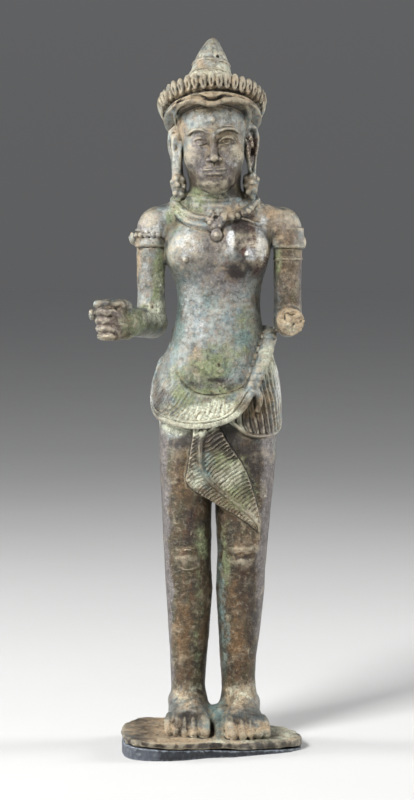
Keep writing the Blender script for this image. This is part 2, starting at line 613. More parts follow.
def shapeFace(clay):
    w = faceWork
    f, brow, nose = w["front"], w["brow"], w["nose"]
    eye, mouth = brow - third * w["eyeDrop"], nose - third * w["mouthDrop"]
    for side in (-1, 1):
        clay.cut(egg((side * w["eyeSpread"], f - 1.3, eye + 0.2), (3.3, 2.5, 2.1), turning("z", side * 16)), 1.8)
    clay.add(egg((0, f + 2.9, mouth + 0.4), (5.4, 3, 4.8)), 2.6)
    for side in (-1, 1):
        clay.add(egg((side * 5.4, f + 4.2, nose + 2.4), (4.2, 3.6, 5)), 3)  # cheeks
        clay.add(egg((side * w["eyeSpread"], f + 1.5, eye), (2.2, 1.6, 1.05), turning("z", side * 14)), 0.15)
        inner, outer = side * (w["eyeSpread"] - w["eyeHalf"]), side * (w["eyeSpread"] + w["eyeHalf"])
        middle = side * w["eyeSpread"]
        first, last = (inner, f + 0.35, eye - 0.1), (outer, f + 1.5, eye + 0.1)
        upper = [first, (middle - side * 0.5, f - 0.35, eye + 1.15),
                 (middle + side * 1.2, f + 0.2, eye + 0.95), last]
        lower = [first, (middle, f + 0.05, eye - 0.95), last]
        clay.add(rod(upper, [0.25, 0.46, 0.46, 0.28]), 0.12)
        clay.add(rod(lower, [0.22, 0.36, 0.24]), 0.12)
        arch = [(side * 1.7, f - 0.15, brow + 0.1), (side * 3.9, f - 0.2, brow + 1.15),
                (side * 6.5, f + 0.9, brow + 1.05), (side * 8.6, f + 2.9, brow - 0.3)]
        clay.add(rod(arch, [0.4, 0.5, 0.5, 0.3]), 0.8)
    bridge = [(0, f + 0.5, brow - 0.6), (0, f - 0.5, nose + 4.6), (0, f - 1.5, nose + 1.4)]
    clay.add(rod(bridge, [0.85, 0.95, 1.3]), 0.9)
    clay.add(egg((0, f - 1.35, nose + 1), (1.35, 1.45, 1.15)), 0.5)
    for side in (-1, 1):
        clay.add(egg((side * 1.7, f - 0.55, nose + 0.75), (1, 1.25, 0.9)), 0.45)
        clay.cut(egg((side * 0.95, f - 1.4, nose - 0.1), (0.5, 0.65, 0.42)), 0.2)
    clay.cut(rod([(0, f - 0.75, nose - 0.7), (0, f - 0.8, mouth + 1.1)], [0.3, 0.36]), 0.5)
    # lips closed and calm
    for side in (-1, 1):
        clay.add(egg((side * 1.5, f + 0.1, mouth + 0.6), (2.5, 1.15, 0.72), turning("y", side * 7)), 0.5)
    clay.add(egg((0, f + 0.1, mouth - 0.8), (2.9, 1.25, 0.98)), 0.5)
    half = w["mouthHalf"]
    parting = [(-half, f + 0.1, mouth + 0.4), (-half / 2, f - 0.95, mouth - 0.05), (0, f - 1.2, mouth - 0.02),
               (half / 2, f - 0.95, mouth - 0.05), (half, f + 0.1, mouth + 0.4)]
    clay.cut(rod(parting, [0.2, 0.24, 0.24, 0.24, 0.2], 16), 0.35)
    underLip = [(-1.8, f - 0.5, mouth - 2.3), (0, f - 0.7, mouth - 2.5), (1.8, f - 0.5, mouth - 2.3)]
    clay.cut(rod(underLip, [0.3, 0.4, 0.3]), 1.4)
    clay.add(egg((0, f + 2.1, chin + 2.4), (3.4, 2.1, 2.4)), 2.2)
    mark = brow + third * 0.45  # the height of the mark on the brow
    clay.add(egg((0, f + 0.25, mark), (0.95, 0.75, 1.5)), 0.2)
    clay.cut(rod([(0, f - 0.6, mark + 0.7), (0, f - 0.6, mark - 0.7)], [0.16]), 0.15)


earWork = {
    "rim": [(10.9, -1.6, 204.6), (11.9, -1.4, 207.2), (14, 0.4, 206.6), (14.5, 1.1, 202.2), (13.6, 0, 196.4),
            (13, -1.2, 191.6)],
    "edge": [(10.8, -2.2, 203), (11.2, -2.9, 199), (11.6, -2.7, 195), (11.9, -2, 191.4)],
    "inner": [(11.9, -2.3, 198.8), (12.6, -2.1, 200.2), (12.8, -1.7, 203)],
    "slit": [(10.4, -3.7, 187), (12.2, -4.4, 187.9), (14.6, -3.2, 187.2)],
    # on the heavy earring: across, ahead, height and size
    "lumps": [(-1.5, -3.1, 190.6, 1), (0.5, -3.6, 191, 1.1), (2, -2.6, 189.8, 1), (-1.8, -3.3, 188.2, 0.9),
              (0.1, -3.9, 188.8, 1), (-0.9, -3.5, 185.6, 1.1), (1.1, -3.3, 186, 1), (0.2, -2.6, 184.2, 1.1)],
}


def shapeEars(clay):
    e = earWork
    for side in (-1, 1):
        clay.add(egg((side * 11.9, 1.2, 200.6), (1.7, 3, 6.6)), 0.8)
        clay.add(rod(mirrored(side, e["rim"]), [0.75, 0.9, 0.9, 0.85, 0.7, 0.8], 22), 0.4)
        clay.add(rod(mirrored(side, e["edge"]), [0.55, 0.62, 0.55, 0.6]), 0.35)
        if side > 0:
            clay.cut(egg((side * 12.9, -1.9, 201.4), (1.3, 1.3, 2.6), turning("y", side * 8)), 0.4)
        clay.add(rod(mirrored(side, e["inner"]), [0.45]), 0.3)
        if side > 0:
            clay.cut(egg((12.9, -1.5, 197.4), (0.75, 3, 3.4)), 0.4)
        else:
            clay.add(rod([(-12.7, -0.8, 204.6), (-12.5, -1.4, 198), (-12.3, -1.6, 191)], [1.5, 1.7, 2]), 1)
            clay.cut(egg((-12.7, -3, 202.4), (0.8, 0.9, 2.4)), 0.5)
        clay.add(egg((side * 12.1, -1.5, 189), (2.7, 2.5, 3)), 1)
        clay.add(egg((side * 11.9, -1.7, 186.2), (2.3, 2.3, 2.4)), 0.9)
        for across, ahead, up, size in e["lumps"]:
            clay.add(egg((side * (12.1 + across), ahead, up), (size, size, size * 1.1)), 0.4)
        clay.cut(rod(mirrored(side, e["slit"]), [0.3]), 0.5)


crownWork = {
    "tilt": 28, "petals": 40, "height": 212.5, "petalRadius": 17.5,
    "coneLean": 19, "coneFoot": 226.4, "coneTop": 238.05,
    # half of the hair roll: across, ahead, and height from the hairline
    "roll": [(4.5, -12.5, 1.9), (9, -11, 1.7), (11.6, -8.2, -0.4), (12, -5, -4.2), (11.3, -3, -7)],
    # turned profiles, radius and height: the diadem's bands, and the cone with its tip given from its top
    "bands": [(0, -3.6), (13, -3.7), (15.2, -3.5), (16.3, -3.1), (16.5, -2.6), (16.1, -2), (16.2, -1.1),
              (14.7, -0.6), (14.7, 0.2), (16.2, 0.7), (16.1, 2), (15.2, 3.4), (12.8, 4.9), (0, 5.4)],
    "cone": [(0, -7), (9.4, -5), (8.9, -3.6), (7.9, -2.5), (7.1, -1.7), (6.9, -1.1), (6.75, 0), (6.45, 1.2),
             (6.1, 2.4), (5.4, 4.5), (4.3, 6.8), (3.15, 8.9)],
    "coneTip": [(1.9, -1.4), (1.2, -0.6), (0.5, -0.1), (0, 0)],
    "coneRings": [(-1.4, 7.1), (2.3, 6.3)],  # height and radius
}
diademStand = headStand @ moving(0, 0.6, crownWork["height"]) @ turning("x", -crownWork["tilt"])
coneStand = (headStand @ moving(0, 3, crownWork["coneFoot"]) @ turning("x", -crownWork["coneLean"])
             @ turning("y", 5))
petalTilt = np.random.default_rng(5).uniform(-1, 1, (3, crownWork["petals"])).astype(np.float32)


def shapeCrown(clay):
    w = crownWork
    clay.stand = headStand
    half = [(x, y, hairline + z) for x, y, z in w["roll"]]
    roll = mirrored(-1, half)[::-1] + [(0, -12.7, hairline + 0.8)] + half
    roll = [(x, y - 0.2 - 0.6 * (abs(x) < 10), z - 0.8) for x, y, z in roll]
    clay.add(rod(roll, [0.5, 0.9, 1.2, 1.15, 1.15, 1.15, 1.15, 1.15, 1.2, 0.9, 0.5], 40), 0.4)
    clay.add(egg((0, 2.2, 211.5), (13.6, 13.4, 12.4)), 1.2)
    clay.stand = diademStand
    clay.add(lathe(w["bands"]), 0.3)
    pitch = 2 * math.pi / w["petals"]

    def petals(x, y, z):
        turn = np.arctan2(y, x) / pitch
        index = np.round(turn).astype(int) % w["petals"]
        across = (turn - np.round(turn)) * pitch * w["petalRadius"] + 0.1 * petalTilt[1][index]
        up = z - 2.7 - 0.25 * petalTilt[0][index]
        out = np.hypot(x, y) - w["petalRadius"] + 0.35 - 0.16 * up - 0.12 * petalTilt[2][index]
        wide = 1.3 + 0.06 * np.clip(up, -2.5, 2.5)
        scaled = np.sqrt((across / wide) ** 2 + (out / 1.15) ** 2 + (up / 2.85) ** 2) + 1e-6
        steep = np.sqrt((across / wide ** 2) ** 2 + (out / 1.15 ** 2) ** 2 + (up / 2.85 ** 2) ** 2) + 1e-6
        bud = scaled * (scaled - 1) / steep
        # the cut down the middle, that leaves a horseshoe
        notch = np.sqrt((across / 0.46) ** 2 + ((out - 1.1) / 0.65) ** 2 + ((up + 1.5) / 1.9) ** 2) - 1
        return softMax(bud, -notch * 0.5, 0.12)

    reach = w["petalRadius"] + 2
    clay.add(Form((-reach, -reach, -0.3), (reach, reach, 5.9), petals), 0.2)
    clay.stand = headStand
    clay.cut(rod([(x, y - 0.8, z + 1.4) for x, y, z in roll[1:9]], [0.2, 0.75, 0.75, 0.75, 0.2], 30), 0.15)
    clay.cut(rod([(x, y + 0.5, z - 1.35) for x, y, z in roll[1:9]], [0.2, 0.6, 0.6, 0.6, 0.2], 30), 0.2)
    clay.stand = coneStand
    tall = (w["coneTop"] - w["coneFoot"]) / math.cos(math.radians(w["coneLean"]))
    clay.add(lathe(w["cone"] + [(radius, tall + up) for radius, up in w["coneTip"]]), 0.4)
    for height, radius in w["coneRings"]:
        ring = [(radius - 1, height - 0.7), (radius - 0.1, height - 0.6), (radius + 0.35, height),
                (radius - 0.1, height + 0.6), (radius - 1, height + 0.7)]
        clay.add(lathe(ring), 0.15)

    def fluted(x, y, z):
        return 0.13 * np.cos(np.arctan2(y, x) * 22) * ease(z, -4.5, -3) * (1 - ease(z, -2.6, -1.9))

    def twisted(x, y, z):
        return 0.05 * np.cos(np.arctan2(y, x) * 16 + z * 0.25) * ease(z, 0.8, 2) * (1 - ease(z, 8, 11))

    clay.swell((-10, -10, -5), (10, 10, tall), fluted)
    clay.swell((-7, -7, 0.6), (7, 7, tall), twisted)
    clay.cut(egg((2.1, -4.6, 3.6), (0.5, 0.8, 0.6)), 0.3)


def shapeHead(clay):
    clay.stand = headStand
    clay.add(loft(headStations), 2)
    clay.add(egg((0, -7.4, 191), (6.4, 3.8, 5)), 1.5)
    shapeFace(clay)
    shapeEars(clay)
    shapeCrown(clay)
    clay.stand = np.eye(4)


# Necklace with a rosette and a drop, and a thin cord looped over the left shoulder
necklaceWork = {
    "line": [(0.6, -8.6, 176.6), (-4.6, -8.1, 177.4), (-9, -6.9, 178.9), (-12.6, -4, 181.6), (-14, 0, 183.6),
             (-11, 4.6, 184.6), (0, 7.4, 185), (11, 4.6, 184.6), (14, 0, 183.6), (12.6, -4, 181.8),
             (9.6, -6.6, 179.6), (5, -8, 177.9), (0.6, -8.6, 176.6)],
    "rosette": (0.45, -9.5, 177.3), "drop": (0.55, -9.9, 171.8),
    "beads": [(5.7, -8.7, 177.6), (7.4, -8.3, 178.2), (9.3, -7.7, 179), (10.8, -7, 179.7), (12, -6, 180.7)],
    "cord": [(16, -2.2, 182), (17.4, -3.6, 178.2), (16.2, -4.9, 175.6), (13.3, -6.2, 175.8), (9, -7.6, 177.4)],
}


def shapeNecklace(clay):
    n = necklaceWork
    clay.add(rod(n["line"], [1.1], 60), 0.25)
    lower = [(x * 1.04, y * 1.04 - 0.3, z - 2.1 - 0.6 * (y < -6)) for x, y, z in n["line"][:5]]
    clay.add(rod([(x, y + 0.45, z + 0.35) for x, y, z in lower], [1.3, 1.3, 1.2, 1, 0.6], 26), 0.35)
    for x, y, z in curveThrough(lower, 26)[1:22]:
        clay.add(egg((x, y, z - 0.85), (0.42, 0.5, 0.55)), 0.12)  # small teeth under the strip
    clay.cut(rod([(x, y - 1, z + 1.2) for x, y, z in lower[:4]], [0.3], 22), 0.3)
    for bead in n["beads"]:
        clay.add(egg(bead, (1.05, 1, 1.1)), 0.25)
    rx, ry, rz = n["rosette"]
    clay.add(egg((rx, ry + 0.5, rz), (3.4, 1.3, 3.4)), 0.3)
    for turn in range(8):
        spin = turn * math.pi / 4 + 0.3 + 0.2 * math.sin(turn * 2.4)
        size = 0.95 + 0.2 * math.sin(turn * 1.9)
        clay.add(egg((rx + 2.55 * math.sin(spin), ry - 0.3, rz + 2.55 * math.cos(spin)), (size, 0.9, size)), 0.25)
    curl = [(rx - 1, ry - 0.6, rz - 0.5), (rx - 0.9, ry - 0.8, rz + 1), (rx + 0.6, ry - 0.8, rz + 1.2)]
    clay.add(rod(curl, [0.5]), 0.3)
    clay.cut(egg((rx - 0.1, ry - 1.1, rz + 0.2), (1, 0.9, 0.8)), 0.3)
    clay.cut(egg((rx + 0.9, ry - 1, rz - 0.7), (0.5, 0.7, 0.5)), 0.2)
    dx, dy, dz = n["drop"]
    clay.add(rod([(dx, dy + 1, dz + 3), (dx, dy + 0.7, dz + 1.4)], [0.7, 0.75]), 0.3)
    clay.add(egg((dx, dy + 0.4, dz), (1.95, 1.5, 2.1)), 0.3)
    clay.add(egg((dx, dy - 0.9, dz + 0.1), (0.9, 0.6, 1)), 0.3)
    clay.add(rod(n["cord"], [0.42]), 0.3)


# Waist cloth. Each edge is a list of angle round the trunk, height and distance off the skin.
clothWork = {
    "apronTop": [(-78, 138, 0.4), (-62, 133, 0.5), (-42, 126, 0.6), (-31, 121.8, 0.9), (-19, 119.4, 1),
                 (-4, 118.8, 1), (13, 119.8, 1), (30, 122.4, 0.9)],
    "apronRim": [(-97, 129.4, 1.2), (-95, 122.6, 1.7), (-84, 116.6, 2.2), (-64, 111.6, 3), (-40, 108.6, 3.9),
                 (-14, 107.2, 4.3), (12, 110.3, 4), (33, 120.2, 3)],
    "apronPleat": 1.3, "apronCut": 0.42, "rimBand": 2.9,
    "pocketTop": [(8, 115, 0.8), (24, 119, 1), (40, 123.6, 1.4), (60, 129, 1.4), (97, 135, 1.2)],
    "pocketRim": [(8, 109.6, 1.8), (24, 104.8, 2.4), (42, 104, 2.6), (64, 105.4, 1.9), (98, 110.4, 0.9)],
    "pocketPleat": 2.1,
}


def clothEdge(edge, count=40):
    line = curveThrough(edge, count)
    return np.column_stack([np.radians(line[:, 0]) * trunkTurn, line[:, 1]]), line[:, 2]


def layCloth(clay, topName, rimName, low, high, surface):
    (top, topOut), (rim, rimOut) = clothEdge(clothWork[topName]), clothEdge(clothWork[rimName])
    outline = np.concatenate([top, rim[::-1]])

    def measure(x, y, z):
        angle, out = trunkPlace(x, y, z)
        u = np.radians(angle) * trunkTurn
        u = np.where(u < top[0, 0] - 25, u + 2 * math.pi * trunkTurn, u)
        area = areaDistance(u, z, outline)
        fromTop, topPlace = nearestOnLine(u, z, top)
        fromRim, rimPlace = nearestOnLine(u, z, rim)
        t = fromTop / (fromTop + fromRim + 1e-3)
        steps = np.linspace(0, 1, len(topOut))
        thick = np.interp(topPlace, steps, topOut) * (1 - t) + np.interp(rimPlace, steps, rimOut) * t
        thick = thick + surface(u, z, t, fromTop, fromRim) + 0.06 * grain(x, y, z, 2.2, 12)
        return softMax((out - thick).astype(np.float32), area + 0.25, 0.9)

    clay.add(Form(low, high, measure), 0.3)


def apronSurface(u, z, t, fromTop, fromRim):
    w, rim = clothWork, clothWork["rimBand"]
    wander = 0.35 * grain(u, z, t, 5, 2)
    pleat = np.arctan2(u - 7, 152 - z) * 38 / w["apronPleat"] + wander
    lines = np.clip((ridge(pleat) - 0.55) / 0.45, 0, 1)
    lines = lines * ease(fromTop, 0.3, 1.6) * ease(fromRim, rim - 0.1, rim + 0.7)
    bowl = -0.7 * np.sin(math.pi * np.clip(t, 0, 1)) * ease(fromRim, rim * 0.8, rim * 2)
    band = 0.85 * (1 - ease(fromRim, rim - 0.3, rim + 0.1)) - 0.4 * (1 - ease(fromRim, 0.2, 1.5))
    groove = 0.75 * np.clip(1 - np.abs(fromRim - rim + 0.75) / 0.42, 0, 1)
    return bowl + band - groove - w["apronCut"] * lines * (1 - 0.45 * ease(u, -14, -4))


def pocketSurface(u, z, t, fromTop, fromRim):
    w = clothWork
    pleat = (u + 0.12 * (z - 110)) / w["pocketPleat"] + 0.5 * grain(u, z, t, 6, 4)
    lines = (0.5 - 0.5 * np.cos(2 * math.pi * pleat)) ** 1.5 * ease(fromRim, 1.2, 2) * ease(fromTop, 0.2, 1)
    band = 0.25 * (1 - ease(fromRim, 0.9, 1.4)) - 0.3 * np.clip(1 - np.abs(fromRim - 1.5) / 0.32, 0, 1)
    return band - 0.75 * lines + 0.25


beltWork = {
    # path, knot and tail: angle round the trunk, height and distance off the skin
    "path": [(31, 121, 1.6), (42, 126.6, 1.8), (55, 132, 2.1), (72, 137.4, 2.4), (100, 139.5, 1.4),
             (140, 139.5, 0.7), (180, 139.5, 0.6), (220, 139.5, 0.6), (250, 139.5, 0), (268, 139.5, -1.4)],
    "radii": [2, 2.3, 2.5, 2.4, 1.8, 1.4, 1.3, 1.3, 1, 0.6], "twist": 0.42, "twistDepth": 0.3,
    "turn": 16,  # millimetres for a radian round it
    "knot": (32, 120.6, 2.2), "tail": [(33, 121.4, 2.4), (37, 117.6, 2.8), (36, 113.6, 2.4)],
}


def shapeBelt(clay):
    b = beltWork
    line = [onTrunk(*place) for place in b["path"]]
    clay.add(rod(line, b["radii"], 44), 0.9)
    middle = curveThrough(line, 60)

    # the cut between its two strands
    def strand(x, y, z):
        u = np.arctan2(x - 1, -y) * b["turn"]
        flat = np.column_stack([np.unwrap(np.arctan2(middle[:, 0] - 1, -middle[:, 1])) * b["turn"], middle[:, 2]])
        u = np.where(u < -30, u + 2 * math.pi * b["turn"], u)
        far, place = nearestOnLine(u, z, flat)
        height = np.interp(place, np.linspace(0, 1, len(middle)), middle[:, 2])
        phase = place * 22 + (z - height) * b["twist"] * 0.6
        return -b["twistDepth"] * np.clip((ridge(phase) - 0.7) / 0.3, 0, 1) * (1 - ease(far, 1.5, 2.4))

    clay.swell((-20, -13, 119), (23, 13, 143), strand)
    kx, ky, kz = onTrunk(*b["knot"])
    clay.add(egg((kx, ky, kz), (2.1, 1.9, 2.2)), 0.5)
    clay.add(egg((kx + 1.4, ky, kz + 1.2), (1.2, 1.3, 1.4)), 0.3)
    tail = [onTrunk(*place) for place in b["tail"]]
    clay.add(rod(tail, [1.3, 1.35, 0.9]), 0.4)
    clay.cut(rod([(x + 0.3, y - 1.5, z) for x, y, z in tail], [0.3]), 0.25)
    clay.cut(rod([(kx - 1.4, ky - 1.8, kz + 1.2), (kx + 1.3, ky - 1.7, kz - 0.6)], [0.3]), 0.3)


# The fishtail of pleated cloth that hangs over the thighs: x and height of its stem and edges
tailWork = {
    "stem": [(-3.6, 108), (-4.6, 103.5), (-4.9, 99), (-4.6, 94.8), (-2.5, 90.7), (1.4, 86.8), (6.2, 83), (11, 79),
             (14.2, 75.4), (15, 72.8)],
    "right": [(1.5, 108), (3, 105), (4.6, 102.2), (7.3, 98.3), (9.4, 94.6), (11.2, 90.7), (13.1, 84.8),
              (14.5, 79.5), (15.1, 75.6), (15.1, 72.4)],
    "left": [(-7.2, 108), (-7.8, 102.6), (-8.6, 97.6), (-9.3, 92.8), (-9.6, 89.9), (-7.8, 87.4), (-4, 84.7),
             (2.4, 80.8), (9.2, 76.8), (14.8, 72.3)],
    "topDepth": 10.9, "tipDepth": 8.4, "thick": 2.1, "slant": 36, "rightPleat": 1.25, "leftPleat": 1.1,
}


def shapeFishtail(clay):
    w = tailWork
    stem, right, left = (curveThrough(w[name], 30) for name in ("stem", "right", "left"))
    outline = np.concatenate([left, right[::-1]])
    slope = math.radians(w["slant"])
    steps, between = np.linspace(0, 1, len(stem)), np.linspace(0, 1, len(stem) - 1)

    def measure(x, y, z):
        area = areaDistance(x, z, outline)
        fromStem, place = nearestOnLine(x, z, stem)
        stemX, stemZ = (np.interp(place, steps, stem[:, k]) for k in (0, 1))
        ahead, down = (np.interp(place, between, np.diff(stem[:, k])) for k in (0, 1))
        onLeft = (x - stemX) * down - (z - stemZ) * ahead > 0
        across = -x * math.sin(slope) + z * math.cos(slope)
        wander = 0.5 * grain(x, y, z, 4.5, 6) + 0.25 * grain(x, y, z, 2, 3)
        pleat = np.where(onLeft, across / w["leftPleat"], across / w["rightPleat"]) + wander
        fold = np.where(onLeft, 0.5, 0.62) * (np.clip(1.5 - 1.5 * ridge(pleat + 0.5), 0, 1) - 0.8)
        fold = fold * ease(fromStem, 0.9, 1.5) * ease(-area, 0.1, 0.5)
        rib = 0.75 * np.sqrt(np.clip(1 - (fromStem / (1.15 - 0.4 * place)) ** 2, 0, 1))
        curl = 0.25 * np.sin(np.clip(place, 0, 1) * 9)
        face = -(w["topDepth"] + (w["tipDepth"] - w["topDepth"]) * place) - w["thick"] - fold - rib - curl
        sheet = np.maximum(face - y, y + 5)
        return softMax(sheet.astype(np.float32), area, 0.55)

    clay.add(Form((-12, -14.5, 71), (17, -4.5, 108.5), measure), 0.35)


# A plain pleated fall of cloth from a knot in the middle of the back
def shapeBackFall(clay):
    def measure(x, y, z):
        angle, out = trunkPlace(x, y, z)
        from180 = np.where(angle < 0, angle + 180, angle - 180)
        t = np.clip((141 - z) / 42, 0, 1)
        spread = 8 + 12 * t
        side = (np.abs(from180) - spread) * 0.24
        fold = 0.36 * np.abs(np.sin(from180 / spread * 4.5 * math.pi)) * ease(t, 0.1, 0.2)
        thick = 1.25 + 0.9 * (1 - ease(t, 0.02, 0.12)) + 0.35 * t + 0.5 * ease(t, 0.95, 0.975) - fold
        return softMax(softMax(out - thick, side, 0.5), np.maximum(z - 142, 99 - z), 0.6).astype(np.float32)

    clay.add(Form((-8, 5, 98.6), (10, 17, 142.4), measure), 0.4)


wearWork = {
    # crusts: x, height, reach across and up, strength, and whether only the front has it
    "crusts": [(-18.4, 154, 3.4, 17, 1, False), (-19, 147, 7, 6, 1, False), (1, 126, 13, 10, 0.7, True),
               (21, 174, 6, 9, 0.8, False)],
}


def erode(clay):
    # uneven modelling, casting waves and corrosion, most on the slab
    close = np.nonzero((np.abs(clay.distance) < 1.2).any(1))[0]
    x, y, z = clay.points(close)
    low = 1 - ease(z, 5, 12)
    crust = 0
    for middleX, middleZ, across, up, strength, frontOnly in wearWork["crusts"]:
        spot = strength * (1 - np.clip(np.hypot((x - middleX) / across, (z - middleZ) / up), 0, 1))
        crust = np.maximum(crust, spot * (y < 0) if frontOnly else spot)
    wear = 0.1 * grain(x, y, z, 5.2, 1) + 0.07 * grain(x, y, z, 2.3, 2) + 0.3 * crust * grain(x, y, z, 1.1, 3)
    pits = np.clip(grain(x, y, z, 1.6, 4) - 0.55, 0, 1) * 0.55
    pits = pits * (1 - 0.8 * ease(z, 200, 212)) * (1 - ease(x, 17, 19))  # few on the crown, none on the left arm
    warts = np.clip(grain(x, y, z, 1.25, 6) - 0.6, 0, 1) * 0.6
    clay.distance[close] += wear * (1 + 1.8 * low) + pits * (0.6 + 0.8 * low) - warts * (0.4 + 2 * crust)


def sculpt(clay):
    shapeTrunk(clay)
    shapeLegs(clay)
    for side, x in ((-1, armWork["rightX"]), (1, armWork["leftX"])):
        upperArm(clay, side, x)
    shapeForearms(clay)
    shapeStump(clay)
    armlets(clay)
    shapeHead(clay)
    shapeNecklace(clay)
    layCloth(clay, "pocketTop", "pocketRim", (2, -16, 101), (24, 8, 136), pocketSurface)
    layCloth(clay, "apronTop", "apronRim", (-23.5, -17.5, 104), (14, 6, 139.5), apronSurface)
    shapeFishtail(clay)
    shapeBelt(clay)
    shapeBackFall(clay)
    shapeBase(clay)
    erode(clay)


def modelled(low, high, shape):
    # works a coarse clay to find the cubes that the skin runs through, then those cubes finely
    w = clayWork
    voxel, count = w["voxel"], w["cube"]
    side = voxel * count
    low = np.array(low, float) - w["margin"]
    cubes = np.ceil((np.array(high, float) + w["margin"] - low) / side).astype(int)
    index = np.stack(np.meshgrid(*(np.arange(n) for n in cubes), indexing="ij"), -1).reshape(-1, 3)
    coarse = Clay(low + index * side, np.full((1, 3), side / 2), side, side * 2)
    shape(coarse)
    near = np.abs(coarse.distance[:, 0]) < side * 0.9 + 0.9
    grid = np.stack(np.meshgrid(*(np.arange(count),) * 3, indexing="ij"), -1).reshape(-1, 3) * voxel
    fine = Clay(low + index[near] * side, grid, side, 1)
    shape(fine)
    field = np.empty((*cubes, count, count, count), np.float32)
    field[:] = np.where(coarse.distance.reshape(*cubes, 1, 1, 1) < 0, -1, 1)
    field[tuple(index[near].T)] = np.clip(fine.distance, -1, 1).reshape(-1, count, count, count)
    field = field.transpose(0, 3, 1, 4, 2, 5).reshape(cubes * count)
    skin = openvdb.FloatGrid(1.0)
    skin.transform = openvdb.createLinearTransform(voxelSize=voxel)
    skin.copyFromArray(np.ascontiguousarray(field))
    points, triangles, quads = skin.convertToPolygons(isovalue=0, adaptivity=0)
    return points + low, quads, triangles


def dropSpecks(mesh):
    # keeps the one large skin; loose grains and closed hollows inside go
    edges = np.empty(len(mesh.edges) * 2, np.int32)
    mesh.edges.foreach_get("vertices", edges)
    begin, end = edges.reshape(-1, 2).T
    label, joined = None, np.arange(len(mesh.vertices))
    while label is None or not np.array_equal(joined, label):
        label = joined
        lowest = np.minimum(label[begin], label[end])
        joined = label.copy()
        np.minimum.at(joined, begin, lowest)
        np.minimum.at(joined, end, lowest)
        joined = joined[joined]
    skin = bmesh.new()
    skin.from_mesh(mesh)
    skin.verts.ensure_lookup_table()
    specks = np.nonzero(label != np.bincount(label).argmax())[0]
    bmesh.ops.delete(skin, geom=[skin.verts[i] for i in specks.tolist()], context="VERTS")
    skin.to_mesh(mesh)
    skin.free()


def meshFrom(name, points, quads, triangles, trianglesMost):
    mesh = bpy.data.meshes.new(name)
    mesh.vertices.add(len(points))
    place = np.array(points, np.float32) * metre + np.array(axis, np.float32)
    mesh.vertices.foreach_set("co", place.ravel())
    quads, triangles = np.array(quads, np.int32).reshape(-1, 4), np.array(triangles, np.int32).reshape(-1, 3)
    mesh.loops.add(quads.size + triangles.size)
    mesh.loops.foreach_set("vertex_index", np.concatenate([quads.ravel(), triangles.ravel()]))
    sizes = np.concatenate([np.full(len(quads), 4), np.full(len(triangles), 3)])
    mesh.polygons.add(len(sizes))
    mesh.polygons.foreach_set("loop_start", np.concatenate([[0], np.cumsum(sizes)[:-1]]))
    mesh.polygons.foreach_set("loop_total", sizes)
    mesh.update(calc_edges=True)
    piece = bpy.data.objects.new(name, mesh)
    bpy.context.scene.collection.objects.link(piece)
    count = 2 * len(quads) + len(triangles)
    if count > trianglesMost:
        thin = piece.modifiers.new("thin", "DECIMATE")
        thin.ratio = trianglesMost / count
        worked = piece.evaluated_get(bpy.context.evaluated_depsgraph_get())
        piece.data = bpy.data.meshes.new_from_object(worked)
        piece.modifiers.clear()
        bpy.data.meshes.remove(mesh)
        piece.data.name = name
    piece.data.validate()  # drops the few faces that thinning folds onto others
    dropSpecks(piece.data)
    piece.data.polygons.foreach_set("use_smooth", np.ones(len(piece.data.polygons), bool))
    return piece


print("sculpting the figure")
points, quads, triangles = modelled((-42, -35, 1), (32, 18.5, 238.5), sculpt)
print("skin", len(points), "points,", len(quads), "quads")
figure = meshFrom("bronzeFigure", points, quads, triangles, clayWork["trianglesMost"])
print("figure", len(figure.data.vertices), "points,", len(figure.data.polygons), "faces")


# Wedge of dark stone under the slab, chipped along its edges
wedgeWork = {"inset": 0.25, "trianglesMost": 30000}


def shapeWedge(clay):
    def measure(x, y, z):
        chips = 0.5 * np.clip(grain(x, y, z, 1.9, 6) - 0.1, 0, 1) + 0.25 * np.clip(grain(x, y, z, 0.9, 7), 0, 1)
        side = areaDistance(x, y, slabOutline) + wedgeWork["inset"] + chips
        return softMax(side, np.maximum(z - wedgeTop(x) + 0.02, -z), 0.15)

    clay.add(Form((-32, -35.2, 0), (30, 13.4, 4.6), measure), 0.01)


points, quads, triangles = modelled((-32, -35, 0), (30, 13.4, 4.6), shapeWedge)
wedge = meshFrom("stoneWedge", points, quads, triangles, wedgeWork["trianglesMost"])
print("wedge", len(wedge.data.polygons), "faces")


